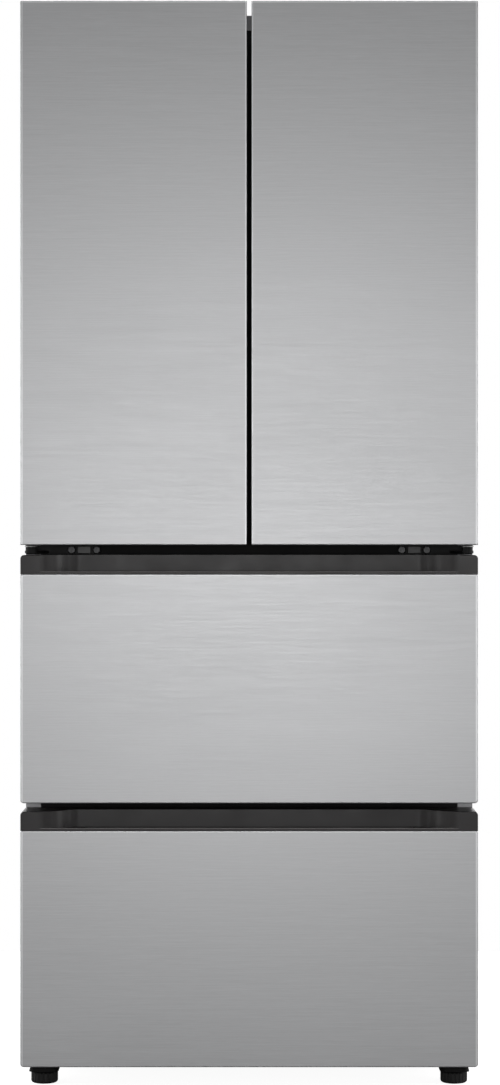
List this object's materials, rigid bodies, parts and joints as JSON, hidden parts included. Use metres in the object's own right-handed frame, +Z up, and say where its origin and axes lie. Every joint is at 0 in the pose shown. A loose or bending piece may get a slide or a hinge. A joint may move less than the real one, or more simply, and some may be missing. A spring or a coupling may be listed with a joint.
{
  "type": "kimchi refrigerator",
  "caption": "Free-standing kimchi refrigerator with hinged upper doors above full-width drawers, brushed steel fronts and dark scooped grip bands.",
  "frame": {"origin": "on the floor below the middle of the footprint", "axes": "+X to the right seen from the front, +Y to the back, +Z up; the fronts face -Y"},
  "size_m": [0.666, 0.737, 1.597],
  "materials": {
    "front_steel": "brushed with fine horizontal lines",
    "grip_plastic": "satin dark grey",
    "case_paint": "satin dark silver, fine orange peel",
    "galvanised_sheet": "galvanised sheet, faint spangle",
    "frame_paint": "satin black",
    "liner": "soft gloss white",
    "door_lining": "soft gloss white",
    "foam": "rigid foam",
    "gasket": "matt dark grey",
    "cap_plastic": "satin black",
    "bin_plastic": "clear, smooth",
    "basket_plastic": "satin light grey",
    "kimchi_box": "satin brown-red",
    "duct_plastic": "satin light grey",
    "light_lens": "frosted",
    "control_plastic": "gloss black",
    "shelf_glass": "clear toughened",
    "shelf_trim": "satin silver grey",
    "hinge_steel": "satin black",
    "screw_steel": "satin black",
    "rail_steel": "zinc plated",
    "gear_plastic": "satin white",
    "compressor_paint": "satin black",
    "fan_plastic": "satin black",
    "gland_rubber": "matt black",
    "foot_plastic": "matt black",
    "roller_plastic": "satin dark grey"
  },
  "bodies": {
    "cabinet": {"outer_case": "case_paint", "back_panel": "galvanised_sheet", "base_pan": "galvanised_sheet", "upper_left_liner": "liner", "upper_right_liner": "liner", "middle_liner": "liner", "lower_liner": "liner", "front_frame": "frame_paint", "cabinet_foam": "foam", "top_hinges": "hinge_steel", "top_hinge_covers": "cap_plastic", "middle_hinges": "hinge_steel", "hinge_screws": "screw_steel", "shelf_glass": "shelf_glass", "shelf_trims": "shelf_trim", "upper_boxes": "kimchi_box", "air_ducts": "duct_plastic", "interior_lights": "light_lens", "control_strip": "control_plastic", "compressor": "compressor_paint", "fan_bracket": "fan_plastic", "rear_cover": "galvanised_sheet", "cord_gland": "gland_rubber", "foot_brackets": "foot_plastic", "roller_axles": "rail_steel", "fixed_rails": "rail_steel", "gear_racks": "gear_plastic"},
    "left_door": {"left_door_panel": "front_steel", "left_door_core": "door_lining", "left_door_caps": "cap_plastic", "left_door_gasket": "gasket", "left_door_bins": "bin_plastic"},
    "right_door": {"right_door_panel": "front_steel", "right_door_core": "door_lining", "right_door_caps": "cap_plastic", "right_door_gasket": "gasket", "right_door_bins": "bin_plastic"},
    "middle_drawer": {"middle_drawer_panel": "front_steel", "middle_drawer_grip": "grip_plastic", "middle_drawer_core": "door_lining", "middle_drawer_gasket": "gasket", "middle_drawer_arms": "rail_steel", "middle_drawer_basket": "basket_plastic", "middle_drawer_boxes": "kimchi_box"},
    "lower_drawer": {"lower_drawer_panel": "front_steel", "lower_drawer_grip": "grip_plastic", "lower_drawer_core": "door_lining", "lower_drawer_gasket": "gasket", "lower_drawer_arms": "rail_steel", "lower_drawer_basket": "basket_plastic", "lower_drawer_boxes": "kimchi_box"},
    "middle_slides": {"middle_slide_rails": "rail_steel"},
    "lower_slides": {"lower_slide_rails": "rail_steel"},
    "middle_gear": {"middle_gear_shaft": "gear_plastic"},
    "lower_gear": {"lower_gear_shaft": "gear_plastic"},
    "left_foot": {"front_foot_left": "foot_plastic"},
    "right_foot": {"front_foot_right": "foot_plastic"},
    "left_roller": {"rear_roller_left": "roller_plastic"},
    "right_roller": {"rear_roller_right": "roller_plastic"},
    "condenser_fan": {"fan": "fan_plastic"}
  },
  "joints": [
    {"name": "left_door_hinge", "type": "hinge", "parent": "cabinet", "child": "left_door", "pos_m": [-0.319, -0.3465, 0.8], "axis": [0, 0, -1], "range_deg": [0, 110]},
    {"name": "right_door_hinge", "type": "hinge", "parent": "cabinet", "child": "right_door", "pos_m": [0.319, -0.3465, 0.8], "axis": [0, 0, 1], "range_deg": [0, 110]},
    {"name": "middle_drawer_slide", "type": "slide", "parent": "cabinet", "child": "middle_drawer", "axis": [0, -1, 0], "range_m": [0, 0.45]},
    {"name": "lower_drawer_slide", "type": "slide", "parent": "cabinet", "child": "lower_drawer", "axis": [0, -1, 0], "range_m": [0, 0.45]},
    {"name": "middle_rail_slide", "type": "slide", "parent": "cabinet", "child": "middle_slides", "axis": [0, -1, 0], "range_m": [0, 0.225]},
    {"name": "lower_rail_slide", "type": "slide", "parent": "cabinet", "child": "lower_slides", "axis": [0, -1, 0], "range_m": [0, 0.225]},
    {"name": "middle_gear_turn", "type": "hinge", "parent": "middle_drawer", "child": "middle_gear", "pos_m": [0, 0.18, 0.661], "axis": [1, 0, 0], "range_deg": [0, 1719]},
    {"name": "lower_gear_turn", "type": "hinge", "parent": "lower_drawer", "child": "lower_gear", "pos_m": [0, 0.18, 0.2876], "axis": [1, 0, 0], "range_deg": [0, 1719]},
    {"name": "left_foot_turn", "type": "hinge", "parent": "cabinet", "child": "left_foot", "pos_m": [-0.306, -0.2535, 0.01], "axis": [0, 0, 1], "continuous": true},
    {"name": "right_foot_turn", "type": "hinge", "parent": "cabinet", "child": "right_foot", "pos_m": [0.306, -0.2535, 0.01], "axis": [0, 0, 1], "continuous": true},
    {"name": "left_roller_turn", "type": "hinge", "parent": "cabinet", "child": "left_roller", "pos_m": [-0.29, 0.3065, 0.017], "axis": [1, 0, 0], "continuous": true},
    {"name": "right_roller_turn", "type": "hinge", "parent": "cabinet", "child": "right_roller", "pos_m": [0.29, 0.3065, 0.017], "axis": [1, 0, 0], "continuous": true},
    {"name": "condenser_fan_turn", "type": "hinge", "parent": "cabinet", "child": "condenser_fan", "pos_m": [0.075, 0.2735, 0.12175], "axis": [1, 0, 0], "continuous": true}
  ],
  "couplings": [
    {"joint": "middle_rail_slide", "follows": "middle_drawer_slide", "ratio": 0.5},
    {"joint": "lower_rail_slide", "follows": "lower_drawer_slide", "ratio": 0.5},
    {"joint": "middle_gear_turn", "follows": "middle_drawer_slide", "rad_per_m": 66.667},
    {"joint": "lower_gear_turn", "follows": "lower_drawer_slide", "rad_per_m": 66.667}
  ]
}
